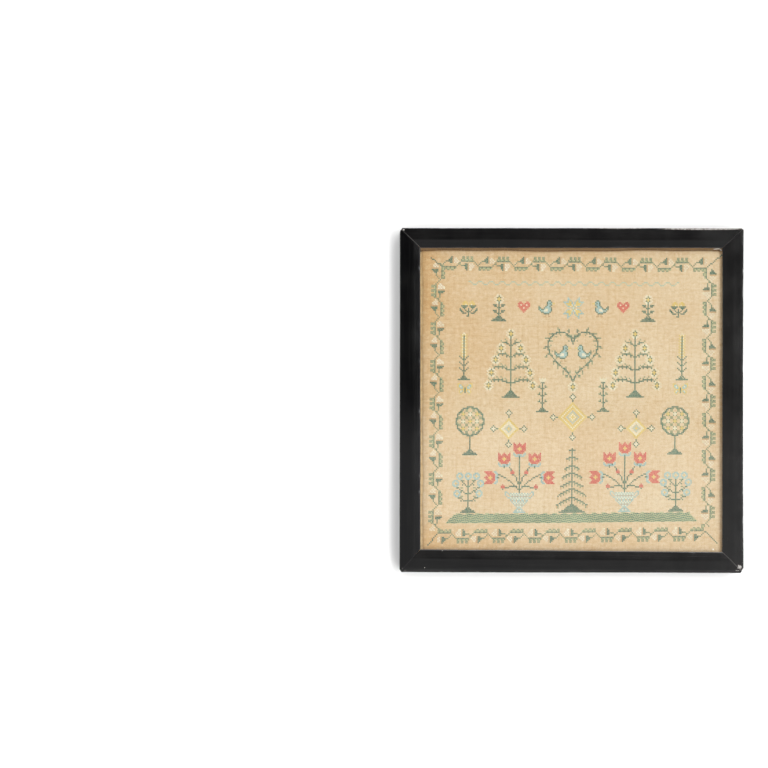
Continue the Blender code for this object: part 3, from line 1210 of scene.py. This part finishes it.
def lattice_tree():
    """Round crown of crossed sage rows with fruit where they meet."""
    chart = plant(5, 5, 13)
    middle = 23
    for x in range(-10, 11):
        for y in range(-10, 11):
            reach = x * x + y * y
            if 82 < reach <= 106:
                chart.dot(x, middle + y, "G")
            elif reach <= 82 and ((x + y) % 5 == 0 or (x - y) % 5 == 0):
                chart.dot(x, middle + y, "S")
    for x in (-5, 0, 5):
        for y in (-5, 0, 5):
            for step_x, step_y in ((0, 0), (1, 0), (-1, 0), (0, 1), (0, -1)):
                chart.dot(x + step_x, middle + y + step_y, "C" if (x + y) % 2 else "Y")
    return chart


def daisy_tree():
    """Tall stem with four pairs of rising boughs and a daisy at each tip."""
    chart = plant(6, 5, 41)
    for level, reach in ((9, 15), (18, 13), (27, 10), (35, 6)):
        for x in range(1, reach + 1):
            lift = level + round(3.2 * sin(pi * x / reach * 0.8))
            chart.pair(x, lift, "G")
            if x % 3 == 0:
                chart.pair(x, lift + 1, "S")
                chart.pair(x + 1, lift + 2, "S")
                chart.pair(x, lift - 1, "G")
        for side in (-1, 1):
            chart.stamp(DAISY, side * (reach + 1), level - 4)
    chart.stamp(DAISY, 0, 41)
    return chart


def lily(height):
    chart = plant(4, 3, height)
    for y in range(6, height - 3, 5):
        chart.pair(1, y, "G")
        chart.pair(2, y + 1, "G")
        chart.pair(3, y + 1, "S")
        chart.pair(2, y + 2, "S")
    chart.stamp(LILY_HEAD, 0, height)
    return chart


def bouquet():
    """Two-handled urn with curved stems, tulips and buds."""
    chart = Chart()
    top = len(URN) - 1
    for reach, rise in ((0, 26), (9, 19), (15, 12)):
        for side in (-1, 1):
            last = (0, top)
            for step in range(1, 9):
                share = step / 8
                here = (round(side * reach * share ** 1.4), round(top + rise * share ** 0.8))
                chart.line(last, here, "G")
                last = here
    chart.stamp(TULIP, 0, top + 24)
    for side in (-1, 1):
        chart.stamp(TULIP, side * 11, top + 17)
        chart.stamp(BUD, side * 5, top + 12)
        chart.stamp(TULIP, side * 15, top + 10, quarters=3 if side > 0 else 1)
        chart.line((side * 4, top + 4), (side * 11, top + 3), "G")
        chart.stamp(BUD, side * 12, top + 2)
    chart.stamp(URN, 0, 0)
    return chart


def blue_bush():
    chart = plant(5, 5, 23)
    for level, reach, rise in ((7, 8, 4), (12, 9, 6), (17, 6, 6)):
        for side in (-1, 1):
            chart.line((0, level), (side * reach, level + rise), "G")
            chart.stamp(BLUE_FLOWER, side * reach, level + rise)
        half = reach // 2
        chart.pair(half, level + rise // 2 + 2, "S")
        chart.pair(half + 1, level + rise // 2 + 2, "S")
        chart.pair(half + 1, level + rise // 2 - 1, "G")
    chart.stamp(BLUE_FLOWER, 0, 23)
    return chart


def wheat(height):
    """Slim ear of yellow and cream grains on a bladed stalk."""
    chart = plant(4, 3, height)
    for y in range(5, height // 2, 4):
        for step in (1, 2, 3):
            chart.pair(step, y + step, "G")
    for y in range(height // 2 + 1, height + 1, 2):
        chart.pair(1, y, "Y")
        chart.pair(2, y + 1, "Y")
        chart.pair(1, y + 1, "C")
    chart.dot(0, height + 1, "Y")
    chart.dot(0, height + 2, "C")
    return chart


def diamond(rings):
    """Nested diamonds, one letter of rings for each from the middle out, and four sprigs."""
    chart = Chart()
    reach = len(rings) - 1
    for x in range(-reach, reach + 1):
        for y in range(-reach, reach + 1):
            ring = abs(x) + abs(y)
            if ring <= reach and rings[ring] != ".":
                chart.dot(x, y, rings[ring])
    for side in (-1, 1):
        for step in (1, 2):
            chart.dot(side * (reach + step), 0, "G")
            chart.dot(0, side * (reach + step), "G")
        chart.stamp(SPRIG, 0, side * (reach + 4) - 2)
        chart.stamp(SPRIG, side * (reach + 4), -2)
    return chart


def heart_garland():
    """Heart-shaped stem with leaves on both sides of it and a daisy under its point."""
    chart = Chart()
    outline = []
    for step in range(241):
        turn = pi * step / 240
        x = round(18 * sin(turn) ** 3)
        y = round(15.5 * cos(turn) - 6 * cos(2 * turn) - 2.4 * cos(3 * turn) - 1.2 * cos(4 * turn))
        if (x, y) not in outline:
            outline.append((x, y))
    for side in (-1, 1):
        for first, second in zip(outline, outline[1:]):
            chart.line((side * first[0], first[1]), (side * second[0], second[1]), "G")
        for place in range(5, len(outline) - 4, 6):
            x, y = outline[place]
            run_x = outline[place + 2][0] - outline[place - 2][0]
            run_y = outline[place + 2][1] - outline[place - 2][1]
            length = hypot(run_x, run_y)
            for out, along, colour in HEART_LEAF:
                leaf_x = x + (along * run_x - out * run_y) / length
                leaf_y = y + (along * run_y + out * run_x) / length
                chart.dot(side * leaf_x, leaf_y, colour)
    chart.stamp(DAISY, 0, -27)
    return chart


def rosette_plant():
    chart = plant(5, 5, 13)
    for level in (5, 9):
        for x, y in ((1, 0), (2, 1), (3, 1), (2, 2), (3, 2), (4, 2)):
            chart.pair(x, level + y, "G")
    chart.stamp(DAISY, 0, 12)
    return chart


def wavy_line(chart, left, right, row):
    rises = (0, 0, 1, 2, 2, 2, 1, 0)
    for column in range(left, right + 1):
        chart.dot(column, row + rises[column % 8], "F")


def ground_band(chart, left, right, row):
    """Light ground that the lowest plants stand on, sloped off at both ends."""
    for column in range(left, right + 1):
        height = min(GROUND_ROWS, 1 + min(column - left, right - column))
        for y in range(height):
            chart.dot(column, row + y, "L")
        if height == GROUND_ROWS and column % 7 in (1, 2, 3):
            chart.dot(column, row + height, "L")


def vine_border(chart):
    """The vine's repeat is charted for the top and turned a quarter for each next side."""
    for quarters, (first, last, shift) in enumerate(VINE_SIDES):
        out = HALF_COLUMNS if quarters % 2 else HALF_ROWS
        for place in range(first, last + 1):
            for depth, line in enumerate(VINE):
                colour = line[(place + shift) % len(line)]
                x = place
                y = out + VINE_INNER_ROW - depth
                for _ in range(quarters):
                    x, y = y, -x
                if colour != ".":
                    chart.dot(x, y, colour)
    for start_x, start_y, end_x, end_y in CORNER_LINES:
        chart.line((start_x, start_y), (end_x, end_y), "G")


def stitch_chart():
    chart = Chart()
    vine_border(chart)
    wavy_line(chart, -76, 76, 80)
    chart.stamp(STAR, 0, 57)
    chart.lay(heart_garland(), 0, 33)
    chart.lay(diamond(MIDDLE_RINGS), 0, -12)
    ground_band(chart, *GROUND)
    chart.lay(fir(44, 11, 7), 0, -78)
    for side in (-1, 1):
        chart.stamp(BIRD, side * 19, 58, flip=side > 0)
        chart.stamp(HEART, side * 36, 61)
        chart.lay(rosette_plant(), side * 54, 55)
        chart.stamp(ACORNS, side * 76, 58)
        chart.stamp(BIRD, side * 7, 27, flip=side > 0)
        chart.lay(daisy_tree(), side * 45, 2)
        chart.lay(wheat(30), side * 79, 14)
        chart.lay(lily(20), side * 22, -8)
        chart.lay(lattice_tree(), side * 74, -38)
        chart.lay(diamond(SIDE_RINGS), side * 46, -20)
        chart.stamp(BUTTERFLY, side * 78, 4)
        chart.lay(bouquet(), side * 38, -78)
        chart.lay(blue_bush(), side * 75, -78)
    return chart


# ---- Stitches ----
class Strands:
    """Many threads of one colour, as the points and faces of one mesh that grows leg by leg."""

    def __init__(self, name):
        self.chance = random.Random(name)
        self.points = []
        self.faces = []
        self.uvs = []
        self.shades = []

    def leg(self, start, end, rise, shade):
        """One leg of a cross: a low rounded thread from hole to hole."""
        run = Vector((end[0] - start[0], end[1] - start[1]))
        side = Vector((-run.y, run.x)).normalized()
        width = LEG_HALF_WIDTH * (1 + LEG_UNEVEN * (self.chance.random() - 0.5))
        offset = self.chance.random() * 20
        base = len(self.points)
        for step in range(LEG_STATIONS):
            share = step / (LEG_STATIONS - 1)
            bulge = sin(pi * share)
            half = width * (0.62 + 0.38 * bulge)
            x = start[0] + run.x * share
            y = start[1] + run.y * share
            level = linen_middle(x, y) + LINEN_THICKNESS / 2
            ridge = level + LEG_RISE * bulge ** 0.5 + rise * bulge ** 2 - LEG_SINK
            foot = level + rise * 0.7 * bulge ** 2 - LEG_SINK
            self.points.append((x + side.x * half, y + side.y * half, foot))
            self.points.append((x, y, ridge))
            self.points.append((x - side.x * half, y - side.y * half, foot))
            self.uvs += [(offset + share, across) for across in (0.0, 0.5, 1.0)]
            self.shades += [shade] * 3
        for step in range(LEG_STATIONS - 1):
            row = base + 3 * step
            self.faces.append((row + 1, row, row + 3, row + 4))
            self.faces.append((row + 2, row + 1, row + 4, row + 5))

    def cross(self, column, row, seed):
        """Two legs. The upper legs of all crosses lie the same way, and a few are worn away."""
        chance = self.chance
        corners = []
        for step_x, step_y in ((-0.5, -0.5), (0.5, 0.5), (-0.5, 0.5), (0.5, -0.5)):
            x, y = stitch_place(column + step_x, row + step_y)
            x += HOLE_SHIFT * (chance.random() - 0.5)
            y += HOLE_SHIFT * (chance.random() - 0.5)
            corners.append((x, y))
        patch = 0.5 * ripple(column * 0.21, row * 0.21, seed)
        shade = limit(0.5 + patch + 0.5 * (chance.random() - 0.5))
        self.leg(corners[0], corners[1], 0.0, shade)
        if chance.random() > LOST_LEGS:
            self.leg(corners[2], corners[3], LEG_CROSSING_RISE, shade)

    def ground_lines(self):
        """Rippled lines of long stitches over the crosses of the ground, each against the next."""
        left, right, lowest = GROUND
        for line in range(GROUND_LINES):
            middle = lowest + 0.1 + 1.25 * line
            reach = round(1.2 * line)
            last = None
            for half in range(2 * (left + reach), 2 * (right - reach) + 1, 3):
                sway = 0.42 * sin(2 * pi * half / 15)
                here = stitch_place(half / 2, middle + sway)
                if last is not None:
                    shade = 0.3 + 0.4 * self.chance.random()
                    for aside in (0.0, GROUND_LINE_PAIR):
                        start = (last[0], last[1] + aside)
                        end = (here[0], here[1] + aside)
                        self.leg(start, end, GROUND_LINE_RISE, shade)
                last = here


def add_stitches(chart):
    """All crosses of one colour are one piece."""
    pieces = []
    for letter, name, slot, *tones in THREADS:
        strands = Strands(name)
        for (column, row), colour in sorted(chart.items()):
            if colour == letter:
                strands.cross(column, row, len(pieces))
        if letter == "G":
            strands.ground_lines()
        materials = [silk(name + "_floss", *[tone(*values) for values in tones])]
        marks = {"shade": strands.shades}
        facts = (strands.points, strands.faces, materials, slot, strands.uvs, marks)
        pieces.append(add_piece(name + "_crosses", *facts))
    return pieces


def add_frayed_ends(material):
    """Short loose thread ends along the two cut edges of the linen."""
    chance = random.Random(7)
    points = []
    faces = []
    uvs = []
    for edge in ("left", "top"):
        place = -HALF_SIGHT + 0.002
        while place < HALF_SIGHT - 0.004:
            place += FRAY_PITCH[0] + FRAY_PITCH[1] * chance.random()
            length = FRAY_LENGTH[0] + FRAY_LENGTH[1] * chance.random() ** 2
            bend = FRAY_BEND * (chance.random() - 0.5)
            radius = FRAY_RADIUS[0] + FRAY_RADIUS[1] * chance.random()
            left = cloth_left(place)
            top = cloth_top(place)
            base = len(points)
            for step in range(FRAY_RINGS):
                share = step / (FRAY_RINGS - 1)
                out = length * share - FRAY_ROOT
                if edge == "left":
                    x = left - out
                    y = place + bend * share * share
                else:
                    x = place + bend * share * share
                    y = top + out
                z = linen_middle(max(x, left), min(y, top)) - FRAY_DROOP * share * share
                for turn in range(FRAY_SIDES):
                    angle = 2 * pi * turn / FRAY_SIDES
                    shift = radius * cos(angle) * (1 - 0.6 * share)
                    point = (x, y + shift) if edge == "left" else (x + shift, y)
                    points.append((*point, z + radius * sin(angle)))
                    uvs.append((point[0] * 7, point[1] * 7))
            faces += tube(base, FRAY_RINGS, FRAY_SIDES)
    return add_piece("frayed_ends", points, faces, [material], "stitched_linen", uvs)


def add_crumbs():
    """Chips off the frame: rough little lumps on the rails and on the glass."""
    points = []
    faces = []
    for x, y, z, half_length, half_width, turn in CRUMBS:
        base = len(points)
        ahead = Vector((cos(radians(turn)), sin(radians(turn))))
        for ring in range(CRUMB_RINGS):
            polar = pi * ring / (CRUMB_RINGS - 1)
            for step in range(CRUMB_SIDES):
                angle = 2 * pi * step / CRUMB_SIDES
                rough = 1 + 0.5 * ripple(x * 900 + step, y * 900 + ring, 3.0)
                along = half_length * rough * sin(polar) * cos(angle)
                aside = half_width * rough * sin(polar) * sin(angle)
                place_x = x + along * ahead.x - aside * ahead.y
                place_y = y + along * ahead.y + aside * ahead.x
                points.append((place_x, place_y, z + 0.6 * half_width * (1 - cos(polar))))
        faces += [(b, a, d, c) for a, b, c, d in tube(base, CRUMB_RINGS, CRUMB_SIDES)]
    add_piece("gesso_crumbs", points, faces, [gesso_crumb()], "ebonised_wood")


# ---- Room ----
def add_floor():
    half = FLOOR_HALF
    mesh = bpy.data.meshes.new("floor")
    corners = [(-half, -half, 0.0), (half, -half, 0.0), (half, half, 0.0), (-half, half, 0.0)]
    mesh.from_pydata(corners, [], [(0, 1, 2, 3)])
    mesh.materials.append(pale_floor())
    floor = bpy.data.objects.new("floor", mesh)
    bpy.context.collection.objects.link(floor)


def add_sky():
    """Soft light all round, strongest from the right, and dim straight above the glass and the paint."""
    recipe = Recipe("studio", "worlds")
    x, y, z = recipe.axes(recipe.add("TexCoord", output="Generated"))

    def rise(lean, low, high, to_low, to_high):
        return lean.spread(radians(low), radians(high), to_low, to_high, "SMOOTHSTEP")

    toward_key = x * cos(radians(KEY_TURN)) + y * sin(radians(KEY_TURN))
    lean_key = recipe.math("ARCTAN2", toward_key, z)
    lean_x = recipe.math("ARCTAN2", x, z)
    lean_y = recipe.math("ARCTAN2", y, z)
    key = rise(lean_key, *KEY_NEAR_SIDE) * rise(lean_key, *KEY_FAR_SIDE)
    bright = key * KEY_RADIANCE + SKY_RADIANCE
    across = rise(lean_x, *DIM_LEFT) * rise(lean_x, *DIM_RIGHT)
    up = rise(lean_y, *DIM_BOTTOM) * rise(lean_y, *DIM_TOP)
    card_edge = rise(lean_x, *CARD_BLUR) * radians(1.0) + radians(CARD_EDGE)
    card = lean_y.spread(radians(CARD_EDGE), card_edge, CARD_RADIANCE, DIM_RADIANCE, "SMOOTHSTEP")
    radiance = recipe.add("Mix", inputs={0: across * up, 2: bright, 3: card}, data_type="FLOAT")
    recipe.fill(recipe.tree.nodes["Background"], {0: (1.0, 1.0, 1.0, 1.0), 1: radiance})
    return recipe.material


def add_room():
    add_floor()
    scene = bpy.context.scene
    scene.world = add_sky()
    scene.view_settings.view_transform = "Standard"
    camera_data = bpy.data.cameras.new("camera")
    camera_data.lens = CAMERA_LENS
    camera_data.sensor_width = CAMERA_SENSOR
    camera_data.clip_start = 0.01
    camera = bpy.data.objects.new("camera", camera_data)
    camera.location = CAMERA_PLACE
    bpy.context.collection.objects.link(camera)
    scene.camera = camera


# ---- The whole sampler ----
add_room()
finishes = [black_paint(), mitre_dirt()]
for rail_facts in RAILS:
    add_rail(*rail_facts, finishes)
add_board()
ground = add_linen()
fringe = add_frayed_ends(ground.data.materials[0])
stitches = add_stitches(stitch_chart())
add_glass()
add_crumbs()
